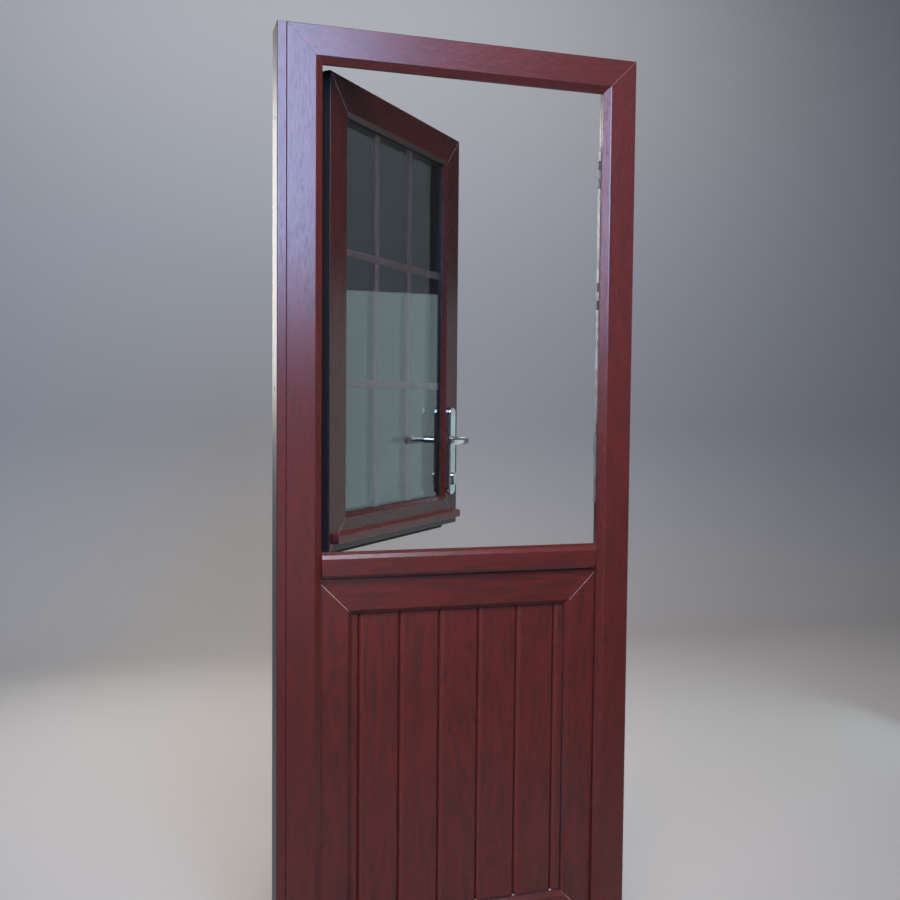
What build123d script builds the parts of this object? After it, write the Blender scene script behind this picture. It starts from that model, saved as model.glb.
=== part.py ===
from build123d import *
import os

# Stable door: an upper glazed leaf and a lower boarded leaf in one frame, both opening inwards.
# Lengths are in millimetres. X runs right seen from outside, Y runs into the house, Z runs up.
# The origin is on the underside of the frame, halfway through its depth.
# A depth is measured into the house from the frame's outer face.

# Frame
frame_width = 761
frame_height = 1982
frame_depth = 70
frame_face = 59
nib_bevel = 14
nib_bevel_depth = 11
nib_thickness = 16.5
rebate_height = 20
frame_wall = 4
frame_corner = 1.2
strip_width = 19
strip_wall = 2.5
steel_gap = 5
steel_wall = 2
gasket_inset = 6
gasket_width = 3
gasket_depth = 4

# Leaves
leaf_overlap = 8
seal_gap = 3.5
seal_clearance = 0.3
leaf_depth = 70
leaf_rail = 75.5
leaf_bevel = 9
leaf_bevel_depth = 8
leaf_lip_depth = 10
leaf_wall = 4
leaf_edge_wall = 7
flange_reach = 20
glazing_rebate = 20
bead_slope_depth = 18
bead_slope_width = 12
lower_leaf_height = 803
opening_angle = 47.8

# Sealed unit and panel
pane_thickness = 4
pane_cavity = 16
pane_edge_gap = 5
glazing_seal = 3
bar_width = 18
bar_thickness = 8
spacer_height = 10
spacer_inset = 2.5
board_pitch = 88
first_board = 16.5
groove_width = 8

# Bar on top of the lower leaf
top_bar_height = 38
top_bar_front = 5
top_bar_wall = 4
top_bar_lift = 4.5
top_bar_gap_hinge = 2
top_bar_gap_lock = 5.5

# Weather bar
weather_bar_inset = 12
weather_bar_depth = 17
weather_bar_height = 20
weather_bar_lift = 16

# Hinges
pivot_rise = 11
pivot_inset = 31
knuckle_radius = 7.5
pin_radius = 4
pin_clearance = 0.06
hinge_height = 90
fixed_knuckle = 22
knuckle_gap = 0.4
flag_thickness = 3
flag_corner = 4
frame_flag_outer = 24.5
frame_flag_inner = 8.5
frame_flag_screw = 16.5
leaf_flag_start = 10
leaf_flag_reach = 50
leaf_flag_screw = 38
hinge_screw_spacing = 32
pin_head = 3
upper_hinge_drop = 180
upper_hinge_rise = 160
lower_hinge_drop = 130
lower_hinge_rise = 130

# Lock edge
groove_setback = 17
faceplate_width = 20
faceplate_thickness = 3
cam_bar_thickness = 2.6
cam_bar_width = 16
cam_bar_clearance = 0.2
cam_bar_end = 16
cam_neck_radius = 3
cam_head_radius = 6
cam_reach = 7
cam_travel = 18
upper_faceplate_rise = 22
upper_faceplate_drop = 122
lower_faceplate_rise = 30
lower_faceplate_drop = 23
upper_cam_drops = (320, 50)
lower_cam_rise = 85
lower_cam_drop = 85
faceplate_screw_inset = 8

# Keeps on the lock jamb
keep_thickness = 3
keep_margin = 2
keep_screw_margin = 7
keep_screw_inset = 12
upper_keep_rise = 73
upper_keep_overrun = 2
lower_keep_rise = 45
lower_keep_drop = 30
claw_reach = 5.5
claw_gap = 1.5
claw_thickness = 3
claw_start = 10
claw_length = 20
latch_keep_margin = 2
latch_keep_thickness = 1.5
latch_keep_below = 53
latch_keep_above = 46

# Handles and lock
backset = 45
lever_rise = 218
key_spacing = 92
plate_width = 33
plate_below_lever = 141
plate_above_lever = 86
plate_thickness = 11
plate_wall = 2.5
plate_corner = 14
plate_edge = 3.5
plate_screw_low = 11
plate_screw_high = 14
plate_screw_radius = 2.5
plate_screw_head = 4.4
plate_post_radius = 5
neck_radius = 9
lever_reach = 37
lever_bow = 5
lever_length = 100
lever_socket = 23
turning_gap = 0.3
spindle_size = 8
follower_radius = 7
latch_rise = 40
latch_tall = 20
latch_wide = 12
latch_length = 30
latch_nose = 8
case_thickness = 16
case_wall = 1.5
case_setback = 6.2
case_slack = 1
upper_case_depth = 54
upper_case_below = 122
upper_case_above = 59
lower_case_depth = 34
lower_case_reach = 41
key_body_radius = 8.5
key_body_width = 10
key_body_drop = 24
key_stand = 6
plug_radius = 6.45
plug_clearance = 0.05
plug_length = 38.8
lower_backset = 22
lower_handle_drop = 228
lower_base_width = 28
lower_base_height = 130
lower_base_drop = 20
lower_base_thickness = 9
lower_base_corner = 10
lower_follower_radius = 7.7
lower_spindle_size = 7
lower_handle_reach = 38
lower_handle_length = 105

# Fixings
screw_radius = 2
screw_head_radius = 4.2
screw_head_height = 2.2
screw_length = 20
screw_hole_clearance = 0.05
fixing_radius = 4
fixing_depth = 30
fixing_inset = 180
fixing_spacing = 540

# Positions that follow from the sizes above
front = -frame_depth / 2
frame_edge = frame_width / 2
frame_sight = frame_face + nib_bevel
frame_floor = frame_sight - rebate_height
leaf_edge = frame_edge - frame_sight + leaf_overlap
leaf_face = nib_thickness + seal_gap
leaf_inside = leaf_face + leaf_depth
flange_back = frame_depth + seal_gap
leaf_floor = leaf_rail - glazing_rebate
lower_bottom = frame_sight - leaf_overlap
lower_top = lower_bottom + lower_leaf_height
bar_floor = lower_top + top_bar_height
bar_tip = bar_floor + rebate_height
upper_bottom = bar_tip - leaf_overlap
upper_top = frame_height - lower_bottom
glass_face = leaf_face + leaf_lip_depth + glazing_seal
glass_inside = glass_face + 2 * pane_thickness + pane_cavity
bead_face = glass_inside + glazing_seal
pane_inset = leaf_floor + pane_edge_gap
floor_x = frame_edge - frame_floor
pivot_depth = frame_depth + pivot_rise
pivot_x = pivot_inset - frame_edge
upper_hinge_heights = (upper_top - upper_hinge_drop, upper_bottom + upper_hinge_rise)
lower_hinge_heights = (lower_top - lower_hinge_drop, lower_bottom + lower_hinge_rise)
spindle_x = leaf_edge - backset
lever_height = upper_bottom + lever_rise
key_height = lever_height - key_spacing
plate_face = leaf_face - plate_thickness
plate_back = leaf_inside + plate_thickness
plate_low = lever_height - plate_below_lever
plate_high = lever_height + plate_above_lever
plate_screw_heights = (plate_low + plate_screw_low, plate_high - plate_screw_high)
latch_height = lever_height + latch_rise
upper_case_low = lever_height - upper_case_below
upper_case_high = lever_height + upper_case_above
lower_spindle_x = leaf_edge - lower_backset
lower_handle_height = lower_top - lower_handle_drop
lower_case_low = lower_handle_height - lower_case_reach
lower_case_high = lower_handle_height + lower_case_reach
groove_low = leaf_face + groove_setback
groove_high = groove_low + faceplate_width
groove_middle = groove_low + faceplate_width / 2
upper_faceplate_low = upper_bottom + upper_faceplate_rise
upper_faceplate_high = upper_top - upper_faceplate_drop
lower_faceplate_low = lower_bottom + lower_faceplate_rise
lower_faceplate_high = lower_top - lower_faceplate_drop
upper_cam_heights = [upper_faceplate_high - drop for drop in upper_cam_drops]
lower_cam_heights = (lower_faceplate_low + lower_cam_rise, lower_faceplate_high - lower_cam_drop)
upper_keep_low = upper_faceplate_low + upper_keep_rise
upper_keep_high = upper_faceplate_high + upper_keep_overrun
lower_keep_low = lower_faceplate_low + lower_keep_rise
lower_keep_high = lower_faceplate_high - lower_keep_drop
first_groove = leaf_rail - leaf_edge + first_board
groove_count = int((2 * (leaf_edge - leaf_rail) - first_board) / board_pitch) + 1
fixing_count = int((frame_height - 2 * fixing_inset) / fixing_spacing) + 1
fixing_heights = [fixing_inset + step * fixing_spacing for step in range(fixing_count)]
gasket_outer = frame_sight - gasket_inset - gasket_width
gasket_inner = frame_sight - gasket_inset
gasket_bottom = nib_thickness - gasket_depth


def block(x_low, x_high, depth_low, depth_high, z_low, z_high):
    """A box between two limits in each direction."""
    centre_x = (x_low + x_high) / 2
    centre_y = front + (depth_low + depth_high) / 2
    centre_z = (z_low + z_high) / 2
    body = Box(x_high - x_low, depth_high - depth_low, z_high - z_low)
    return Pos(centre_x, centre_y, centre_z) * body


def ring(edge, z_low, z_high, outer_inset, inner_inset, depth_low, depth_high):
    """A rectangular ring, inset from the rectangle |x| <= edge, z_low <= z <= z_high."""
    outer = block(
        outer_inset - edge,
        edge - outer_inset,
        depth_low,
        depth_high,
        z_low + outer_inset,
        z_high - outer_inset,
    )
    inner = block(
        inner_inset - edge,
        edge - inner_inset,
        depth_low - 1,
        depth_high + 1,
        z_low + inner_inset,
        z_high - inner_inset,
    )
    return outer - inner


def taper(edge, z_low, z_high, front_inset, front_depth, back_inset, back_depth):
    """A solid between two rectangles at different depths, for cutting a bevel round an opening."""
    sections = []
    for inset, depth in ((front_inset, front_depth), (back_inset, back_depth)):
        plane = Plane(
            origin=(0, front + depth, (z_low + z_high) / 2),
            x_dir=(1, 0, 0),
            z_dir=(0, 1, 0),
        )
        width = 2 * (edge - inset)
        height = z_high - z_low - 2 * inset
        sections.append(plane * Rectangle(width, height))
    return loft(sections)


def rod_across(x, z, depth_low, depth_high, radius):
    """A cylinder along Y."""
    body = Rot(90, 0, 0) * Cylinder(radius, depth_high - depth_low)
    return Pos(x, front + (depth_low + depth_high) / 2, z) * body


def rod_sideways(x_low, x_high, depth, z, radius):
    """A cylinder along X."""
    body = Rot(0, 90, 0) * Cylinder(radius, x_high - x_low)
    return Pos((x_low + x_high) / 2, front + depth, z) * body


def rod_upright(x, depth, z_low, z_high, radius):
    """A cylinder along Z."""
    return Pos(x, front + depth, (z_low + z_high) / 2) * Cylinder(radius, z_high - z_low)


def bar_along(points, x_low, x_high):
    """A bar along X with the section given as (depth, z) points."""
    plane = Plane(origin=(x_low, front, 0), x_dir=(0, 1, 0), z_dir=(1, 0, 0))
    section = plane * Polygon(*points, align=None)
    return extrude(section, amount=x_high - x_low, dir=(1, 0, 0))


def screw(slotted):
    """A countersunk screw with its head face at the origin, driven along -Z, or its plain hole."""
    spare = 0 if slotted else screw_hole_clearance
    radius = screw_radius + spare
    head = Pos(0, 0, -screw_head_height / 2) * Cone(radius, screw_head_radius + spare, screw_head_height)
    shank_length = screw_length - screw_head_height + spare
    shank = Pos(0, 0, -screw_head_height - shank_length / 2) * Cylinder(radius, shank_length)
    if slotted:
        return head + shank - Box(5, 1, 1.6) - Box(1, 5, 1.6)
    return head + shank


def screws(places):
    """The screws at these places, as one group."""
    return Compound(children=[place * screw(True) for place in places])


def drilled(piece, places):
    """The piece with a hole for each screw at these places."""
    for place in places:
        piece -= place * screw(False)
    return piece


def from_inside(x, depth, z):
    return Pos(x, front + depth, z) * Rot(-90, 0, 0)


def from_right(x, depth, z):
    return Pos(x, front + depth, z) * Rot(0, 90, 0)


def from_left(x, depth, z):
    return Pos(x, front + depth, z) * Rot(0, -90, 0)


# Place that turns a piece of the closed upper leaf to its stored opening angle
hinge_line = Pos(pivot_x, front + pivot_depth, 0)
opening = hinge_line * Rot(0, 0, opening_angle) * hinge_line.inverse()


# Frame pieces

def outer_frame():
    body = ring(frame_edge, 0, frame_height, 0, frame_floor, 0, frame_depth)
    nib = ring(frame_edge, 0, frame_height, frame_floor, frame_sight, 0, nib_thickness)
    bevel = taper(frame_edge, 0, frame_height, frame_face, 0, frame_sight, nib_bevel_depth)
    chamber = ring(
        frame_edge,
        0,
        frame_height,
        frame_wall,
        frame_floor - frame_wall,
        frame_wall,
        frame_depth - frame_wall,
    )
    groove = ring(frame_edge, 0, frame_height, gasket_outer, gasket_inner, gasket_bottom, nib_thickness)
    frame = body + nib - bevel - chamber - groove
    outer_edges = frame.edges().filter_by(Plane.XZ).group_by(Axis.Y)[0]
    corners = [edge for edge in outer_edges if edge.length > frame_width - 1]
    frame = chamfer(corners, frame_corner)
    for z in fixing_heights:
        frame -= rod_sideways(-frame_edge - 1, -floor_x + 1, fixing_depth, z, fixing_radius)
        frame -= rod_sideways(floor_x - 1, frame_edge + 1, fixing_depth, z, fixing_radius)
    return frame


def extension_strip():
    left = -frame_edge - strip_width
    strip = block(left, -frame_edge, 0, frame_depth, 0, frame_height)
    front_edges = strip.edges().filter_by(Axis.Z).group_by(Axis.Y)[0]
    strip = chamfer(front_edges, frame_corner)
    strip -= block(
        left + strip_wall,
        -frame_edge - strip_wall,
        strip_wall,
        frame_depth - strip_wall,
        -1,
        frame_height + 1,
    )
    for z in fixing_heights:
        strip -= rod_sideways(left - 1, -frame_edge + 1, fixing_depth, z, fixing_radius)
    return strip


def jamb_steel(side):
    outer = frame_edge - frame_wall
    inner = frame_edge - frame_floor + frame_wall
    low = min(side * outer, side * inner)
    high = max(side * outer, side * inner)
    depth_low = frame_wall + steel_gap
    depth_high = frame_depth - depth_low
    z_low = frame_floor + steel_gap
    z_high = frame_height - frame_floor - steel_gap
    steel = block(low, high, depth_low, depth_high, z_low, z_high)
    steel -= block(
        low + steel_wall,
        high - steel_wall,
        depth_low + steel_wall,
        depth_high - steel_wall,
        z_low - 1,
        z_high + 1,
    )
    for z in fixing_heights:
        steel -= rod_sideways(low - 1, high + 1, fixing_depth, z, fixing_radius)
    return steel


def frame_gasket():
    stem = ring(frame_edge, 0, frame_height, gasket_outer, gasket_inner, gasket_bottom, nib_thickness)
    lip_end = leaf_face - seal_clearance
    lip = ring(frame_edge, 0, frame_height, gasket_outer - 1, frame_sight - 0.5, nib_thickness, lip_end)
    return stem + lip


# Hinges

def hinge_frame_flag(z):
    low = z - hinge_height / 2
    high = z + hinge_height / 2
    plate = block(
        pivot_x - frame_flag_outer,
        pivot_x + frame_flag_inner,
        frame_depth,
        frame_depth + flag_thickness,
        low,
        high,
    )
    flag = fillet(plate.edges().filter_by(Axis.Y).group_by(Axis.X)[0], flag_corner)
    for start in (low, high - fixed_knuckle):
        end = start + fixed_knuckle
        flag += rod_upright(pivot_x, pivot_depth, start, end, knuckle_radius)
        flag += block(
            pivot_x - knuckle_radius + 2,
            pivot_x + knuckle_radius - 2,
            frame_depth + 1,
            pivot_depth,
            start,
            end,
        )
    flag -= rod_upright(pivot_x, pivot_depth, low - 1, high + 1, pin_radius)
    return flag


def hinge_pin(z):
    low = z - hinge_height / 2
    high = z + hinge_height / 2
    pin = rod_upright(pivot_x, pivot_depth, low, high, pin_radius)
    pin += rod_upright(pivot_x, pivot_depth, high, high + pin_head, knuckle_radius - 1)
    pin += rod_upright(pivot_x, pivot_depth, low - pin_head, low, knuckle_radius - 1)
    return pin


def hinge_leaf_flag(z):
    low = z - hinge_height / 2 + fixed_knuckle + knuckle_gap
    high = z + hinge_height / 2 - fixed_knuckle - knuckle_gap
    back = leaf_inside + flag_thickness
    flag = rod_upright(pivot_x, pivot_depth, low, high, knuckle_radius)
    flag += block(pivot_x, pivot_x + leaf_flag_start + 2, pivot_depth + flag_thickness, back, low, high)
    plate = block(
        pivot_x + leaf_flag_start,
        pivot_x + leaf_flag_reach,
        leaf_inside,
        back,
        z - hinge_height / 2,
        z + hinge_height / 2,
    )
    flag += fillet(plate.edges().filter_by(Axis.Y).group_by(Axis.X)[-1], flag_corner)
    flag -= rod_upright(pivot_x, pivot_depth, low - 1, high + 1, pin_radius + pin_clearance)
    return flag


def frame_hinge_places():
    places = []
    for z in upper_hinge_heights + lower_hinge_heights:
        for offset in (-hinge_screw_spacing, 0, hinge_screw_spacing):
            places.append(from_inside(pivot_x - frame_flag_screw, frame_depth + flag_thickness, z + offset))
    return places


def leaf_hinge_places(heights):
    places = []
    for z in heights:
        for offset in (-hinge_screw_spacing, 0, hinge_screw_spacing):
            places.append(from_inside(pivot_x + leaf_flag_screw, leaf_inside + flag_thickness, z + offset))
    return places


# Leaf profiles

def sash(z_low, z_high):
    body = ring(leaf_edge, z_low, z_high, 0, leaf_floor, leaf_face, leaf_inside)
    flange = ring(leaf_edge, z_low, z_high, -flange_reach, 1, flange_back, leaf_inside)
    lip_back = leaf_face + leaf_lip_depth
    lip = ring(leaf_edge, z_low, z_high, leaf_floor - 1, leaf_rail, leaf_face, lip_back)
    frame = body + flange + lip
    outer_edges = frame.edges().filter_by(Plane.XZ).group_by(Axis.Y)[0]
    corners = [edge for edge in outer_edges if edge.length > 2 * leaf_edge - 1]
    frame = fillet(corners, 1.5)
    bevel_start = leaf_rail - leaf_bevel
    bevel_end = leaf_face + leaf_bevel_depth
    frame -= taper(leaf_edge, z_low, z_high, bevel_start, leaf_face, leaf_rail, bevel_end)
    frame -= ring(
        leaf_edge,
        z_low,
        z_high,
        leaf_edge_wall,
        leaf_floor - leaf_wall,
        leaf_face + leaf_wall,
        leaf_inside - leaf_wall,
    )
    return frame - ring(leaf_edge, z_low, z_high, -1, faceplate_thickness, groove_low, groove_high)


def lock_channel(z_low, z_high):
    x_high = leaf_edge - faceplate_thickness
    x_low = x_high - cam_bar_thickness - 2 * cam_bar_clearance
    half = cam_bar_width / 2 + cam_bar_clearance
    return block(x_low, x_high, groove_middle - half, groove_middle + half, z_low, z_high)


def case_pocket(depth_in, z_low, z_high):
    x_low = leaf_edge - depth_in
    x_high = leaf_edge - faceplate_thickness
    half = case_thickness / 2 + cam_bar_clearance
    return block(
        x_low,
        x_high,
        groove_middle - half,
        groove_middle + half,
        z_low - case_slack,
        z_high + case_slack,
    )


def upper_sash():
    frame = sash(upper_bottom, upper_top)
    frame -= lock_channel(upper_faceplate_low + cam_bar_end - 1, upper_faceplate_high - cam_bar_end + 1)
    frame -= case_pocket(upper_case_depth, upper_case_low, upper_case_high)
    frame -= rod_across(spindle_x, lever_height, leaf_face - 1, leaf_inside + 1, neck_radius + 2)
    frame -= key_profile(leaf_face - 1, leaf_inside + 1, 0.4)
    for z in plate_screw_heights:
        frame -= rod_across(spindle_x, z, leaf_face - 1, leaf_inside + 1, plate_screw_radius + 0.5)
    return drilled(frame, leaf_hinge_places(upper_hinge_heights) + upper_faceplate_places)


def lower_sash():
    frame = sash(lower_bottom, lower_top)
    frame -= lock_channel(lower_faceplate_low + cam_bar_end - 1, lower_faceplate_high - cam_bar_end + 1)
    frame -= case_pocket(lower_case_depth, lower_case_low, lower_case_high)
    frame -= rod_across(lower_spindle_x, lower_handle_height, leaf_inside - 6, leaf_inside + 1, neck_radius)
    return drilled(frame, leaf_hinge_places(lower_hinge_heights) + lower_faceplate_places)


def leaf_seal(z_low, z_high):
    low = frame_depth + seal_clearance
    return ring(leaf_edge, z_low, z_high, 2 - flange_reach, 5.5 - flange_reach, low, flange_back)


def glazing_gasket(z_low, z_high):
    lip_back = leaf_face + leaf_lip_depth
    return ring(leaf_edge, z_low, z_high, leaf_rail - 8, leaf_rail + 1, lip_back, glass_face)


def bead_set(z_low, z_high):
    """Four mitred beads, in the order bottom, top, left, right."""
    beads = ring(leaf_edge, z_low, z_high, leaf_floor, leaf_rail, glass_inside, leaf_inside)
    beads -= ring(leaf_edge, z_low, z_high, leaf_floor - 1, leaf_rail - 5, glass_inside - 1, bead_face)
    slope_start = leaf_inside - bead_slope_depth
    slope_end = leaf_rail - bead_slope_width
    beads -= taper(leaf_edge, z_low, z_high, leaf_rail, slope_start, slope_end, leaf_inside)
    edge = leaf_edge - leaf_floor
    low = z_low + leaf_floor
    high = z_high - leaf_floor
    inner = edge - glazing_rebate
    inner_low = low + glazing_rebate
    inner_high = high - glazing_rebate
    outlines = (
        ((-edge, low), (edge, low), (inner, inner_low), (-inner, inner_low)),
        ((-edge, high), (-inner, inner_high), (inner, inner_high), (edge, high)),
        ((-edge, low), (-inner, inner_low), (-inner, inner_high), (-edge, high)),
        ((edge, low), (edge, high), (inner, inner_high), (inner, inner_low)),
    )
    plane = Plane(origin=(0, front + leaf_inside + 1, 0), x_dir=(1, 0, 0), z_dir=(0, -1, 0))
    pieces = []
    for outline in outlines:
        prism = extrude(plane * Polygon(*outline, align=None), amount=leaf_depth)
        pieces.append(beads & prism)
    return pieces


# Sealed unit

def pane(depth_low):
    inset = pane_inset
    return block(
        inset - leaf_edge,
        leaf_edge - inset,
        depth_low,
        depth_low + pane_thickness,
        upper_bottom + inset,
        upper_top - inset,
    )


def spacer_frame():
    outer = pane_inset + spacer_inset
    low = glass_face + pane_thickness
    return ring(leaf_edge, upper_bottom, upper_top, outer, outer + spacer_height, low, low + pane_cavity)


def glazing_bars():
    inset = pane_inset + spacer_inset + spacer_height
    edge = leaf_edge - inset
    z_low = upper_bottom + inset
    z_high = upper_top - inset
    sight_edge = leaf_edge - leaf_rail
    sight_low = upper_bottom + leaf_rail
    sight_third = (upper_top - leaf_rail - sight_low) / 3
    middle = glass_face + pane_thickness + pane_cavity / 2
    low = middle - bar_thickness / 2
    high = middle + bar_thickness / 2
    half = bar_width / 2
    uprights = []
    for x in (-sight_edge / 3, sight_edge / 3):
        upright = block(x - half, x + half, low, high, z_low, z_high)
        uprights.append(chamfer(upright.edges().filter_by(Axis.Z), 2.5))
    grid = uprights[0] + uprights[1]
    for step in (1, 2):
        z = sight_low + step * sight_third
        across = block(-edge, edge, low, high, z - half, z + half)
        grid += chamfer(across.edges().filter_by(Axis.X), 2.5)
    return grid


# Weather bar

def weather_bar():
    z_low = upper_bottom + weather_bar_lift
    z_high = z_low + weather_bar_height
    low = leaf_face - weather_bar_depth
    points = (
        (leaf_face, z_low),
        (leaf_face, z_high + 1.5),
        (low, z_high - 1),
        (low, z_low),
    )
    bar = bar_along(points, weather_bar_inset - leaf_edge, leaf_edge - weather_bar_inset)
    corners = bar.edges().filter_by(Axis.X).group_by(Axis.Y)[0]
    bar = fillet(corners, 4)
    bar -= rod_sideways(-leaf_edge, leaf_edge, leaf_face - 6, z_low + 8, 3)
    return bar


# Lock edge of a leaf

def faceplate_places(z_low, z_high):
    heights = (z_low + faceplate_screw_inset, z_high - faceplate_screw_inset)
    return [from_right(leaf_edge, groove_middle, z) for z in heights]


upper_faceplate_places = faceplate_places(upper_faceplate_low, upper_faceplate_high)
lower_faceplate_places = faceplate_places(lower_faceplate_low, lower_faceplate_high)


def faceplate(z_low, z_high, cam_heights):
    x_low = leaf_edge - faceplate_thickness
    plate = block(x_low, leaf_edge, groove_low, groove_high, z_low, z_high)
    reach = cam_neck_radius + cam_bar_clearance + turning_gap
    for z in cam_heights:
        plate -= block(
            x_low - 1,
            leaf_edge + 1,
            groove_middle - reach,
            groove_middle + reach,
            z - reach,
            z + cam_travel + reach,
        )
    return plate


def cam_bar(z_low, z_high, cam_heights):
    x_high = leaf_edge - faceplate_thickness - cam_bar_clearance
    x_low = x_high - cam_bar_thickness
    half = cam_bar_width / 2
    bar = block(x_low, x_high, groove_middle - half, groove_middle + half, z_low, z_high)
    for z in cam_heights:
        bar += rod_sideways(x_high - 1, leaf_edge + 1, groove_middle, z, cam_neck_radius)
        bar += rod_sideways(leaf_edge + 0.7, leaf_edge + cam_reach, groove_middle, z, cam_head_radius)
    return bar


def keep_rail(z_low, z_high, cam_heights):
    """A keep strip on the jamb, with a claw above and below the gap that each cam goes in by."""
    face = floor_x - keep_thickness
    plate = block(face, floor_x, groove_low, frame_depth - keep_margin, z_low, z_high)
    claw_front = groove_middle + cam_head_radius + claw_gap
    claw_back = claw_front + claw_thickness
    for z in cam_heights:
        for start in (z - claw_start - claw_length, z + claw_start):
            plate += block(face - claw_reach, face + 1, claw_front, claw_back, start, start + claw_length)
    return plate


def upper_faceplate():
    plate = faceplate(upper_faceplate_low, upper_faceplate_high, upper_cam_heights)
    plate -= latch_window(leaf_edge - 4, leaf_edge + 1, 0)
    return drilled(plate, upper_faceplate_places)


def lower_faceplate():
    plate = faceplate(lower_faceplate_low, lower_faceplate_high, lower_cam_heights)
    return drilled(plate, lower_faceplate_places)


def latch_window(x_low, x_high, slack):
    half = latch_wide / 2 + turning_gap
    z_low = latch_height - latch_tall / 2 - turning_gap
    z_high = latch_height + latch_tall / 2 + turning_gap
    return block(x_low, x_high, groove_middle - half, groove_middle + half, z_low - slack, z_high)


def upper_cam_bar():
    z_low = upper_faceplate_low + cam_bar_end
    z_high = upper_faceplate_high - cam_travel - cam_bar_end
    bar = cam_bar(z_low, z_high, upper_cam_heights)
    return bar - latch_window(leaf_edge - 8, leaf_edge - 2, cam_travel)


def lower_cam_bar():
    z_low = lower_faceplate_low + cam_bar_end
    z_high = lower_faceplate_high - cam_travel - cam_bar_end
    return cam_bar(z_low, z_high, lower_cam_heights)


def upper_lock_case():
    low = groove_middle - case_thickness / 2
    high = groove_middle + case_thickness / 2
    x_low = leaf_edge - upper_case_depth
    x_high = leaf_edge - case_setback
    case = block(x_low, x_high, low, high, upper_case_low, upper_case_high)
    case -= block(
        x_low + case_wall,
        x_high - case_wall,
        low + case_wall,
        high - case_wall,
        upper_case_low + case_wall,
        upper_case_high - case_wall,
    )
    case -= rod_across(spindle_x, lever_height, low - 1, high + 1, follower_radius + turning_gap)
    case -= key_profile(low - 1, high + 1, 0.2)
    case -= latch_window(x_high - 3, x_high + 1, 0)
    return case


def lower_lock_case():
    low = groove_middle - case_thickness / 2
    high = groove_middle + case_thickness / 2
    x_low = leaf_edge - lower_case_depth
    x_high = leaf_edge - case_setback
    case = block(x_low, x_high, low, high, lower_case_low, lower_case_high)
    case -= block(
        x_low + case_wall,
        x_high - case_wall,
        low + case_wall,
        high - case_wall,
        lower_case_low + case_wall,
        lower_case_high - case_wall,
    )
    hole_radius = lower_follower_radius + turning_gap
    return case - rod_across(lower_spindle_x, lower_handle_height, low - 1, high + 1, hole_radius)


def latch_bolt():
    half = latch_wide / 2
    bolt = block(
        leaf_edge - latch_length,
        leaf_edge,
        groove_middle - half,
        groove_middle + half,
        latch_height - latch_tall / 2,
        latch_height + latch_tall / 2,
    )
    nose = bolt.edges().filter_by(Axis.Z).group_by(Axis.X)[-1].sort_by(Axis.Y)[0]
    return chamfer(nose, latch_nose, latch_nose - 3)


# Key cylinder

def key_profile(depth_low, depth_high, clearance):
    plane = Plane(origin=(spindle_x, front + depth_low, key_height), x_dir=(1, 0, 0), z_dir=(0, 1, 0))
    outline = Circle(key_body_radius + clearance)
    foot = key_body_width / 2
    straight = key_body_drop - foot
    outline += Pos(0, straight / 2) * Rectangle(2 * (foot + clearance), straight)
    outline += Pos(0, straight) * Circle(foot + clearance)
    return extrude(plane * outline, amount=depth_high - depth_low)


def key_cylinder():
    body = key_profile(plate_face - key_stand, plate_back + key_stand, 0)
    bore_end = plate_face - key_stand + plug_length + 0.2
    bore_start = plate_face - key_stand - 1
    bore_radius = plug_radius + plug_clearance
    return body - rod_across(spindle_x, key_height, bore_start, bore_end, bore_radius)


def key_plug():
    plug_front = plate_face - key_stand
    plug = rod_across(spindle_x, key_height, plug_front, plug_front + plug_length, plug_radius)
    return plug - block(
        spindle_x - 1,
        spindle_x + 1,
        plug_front - 1,
        plug_front + 13,
        key_height - plug_radius + 2,
        key_height + plug_radius - 2,
    )


# Handles

def backplate(outside):
    """A hollow plate on the outer or inner face of the upper leaf."""
    centre_z = (plate_low + plate_high) / 2
    height = plate_high - plate_low
    if outside:
        plane = Plane(origin=(spindle_x, front + leaf_face, centre_z), x_dir=(1, 0, 0), z_dir=(0, -1, 0))
    else:
        plane = Plane(origin=(spindle_x, front + leaf_inside, centre_z), x_dir=(-1, 0, 0), z_dir=(0, 1, 0))
    body = extrude(RectangleRounded(plate_width, height, plate_corner), amount=plate_thickness)
    body = fillet(body.faces().sort_by(Axis.Z)[-1].edges(), plate_edge)
    cut_width = plate_width - 2 * plate_wall
    cut_height = height - 2 * plate_wall
    cut_outline = RectangleRounded(cut_width, cut_height, plate_corner - plate_wall)
    body -= extrude(cut_outline, amount=plate_thickness - plate_wall)
    body -= Pos(0, lever_height - centre_z, 0) * Cylinder(neck_radius + turning_gap, 4 * plate_thickness)
    plate = plane * body
    post_low = plate_face + 1 if outside else leaf_inside
    post_high = leaf_face if outside else plate_back - 1
    for z in plate_screw_heights:
        plate += rod_across(spindle_x, z, post_low, post_high, plate_post_radius)
    return plate - key_profile(plate_face - 5, plate_back + 5, 0.1)


def outside_backplate():
    plate = backplate(True)
    for z in plate_screw_heights:
        plate -= rod_across(spindle_x, z, plate_face + 4, leaf_face + 1, plate_screw_radius)
    return plate


def inside_backplate():
    plate = backplate(False)
    for z in plate_screw_heights:
        plate -= rod_across(spindle_x, z, leaf_inside - 1, plate_back + 1, plate_screw_radius)
        plate -= rod_across(spindle_x, z, plate_back - 2, plate_back + 1, plate_screw_head + 0.1)
    return plate


def handle_screws():
    pieces = []
    for z in plate_screw_heights:
        shank = rod_across(spindle_x, z, plate_face + 4, plate_back - 2, plate_screw_radius)
        head = rod_across(spindle_x, z, plate_back - 2, plate_back - 0.2, plate_screw_head)
        slot = block(spindle_x - 3, spindle_x + 3, plate_back - 1.2, plate_back, z - 0.6, z + 0.6)
        pieces.append(opening * (shank + head - slot))
    return Compound(children=pieces)


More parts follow.
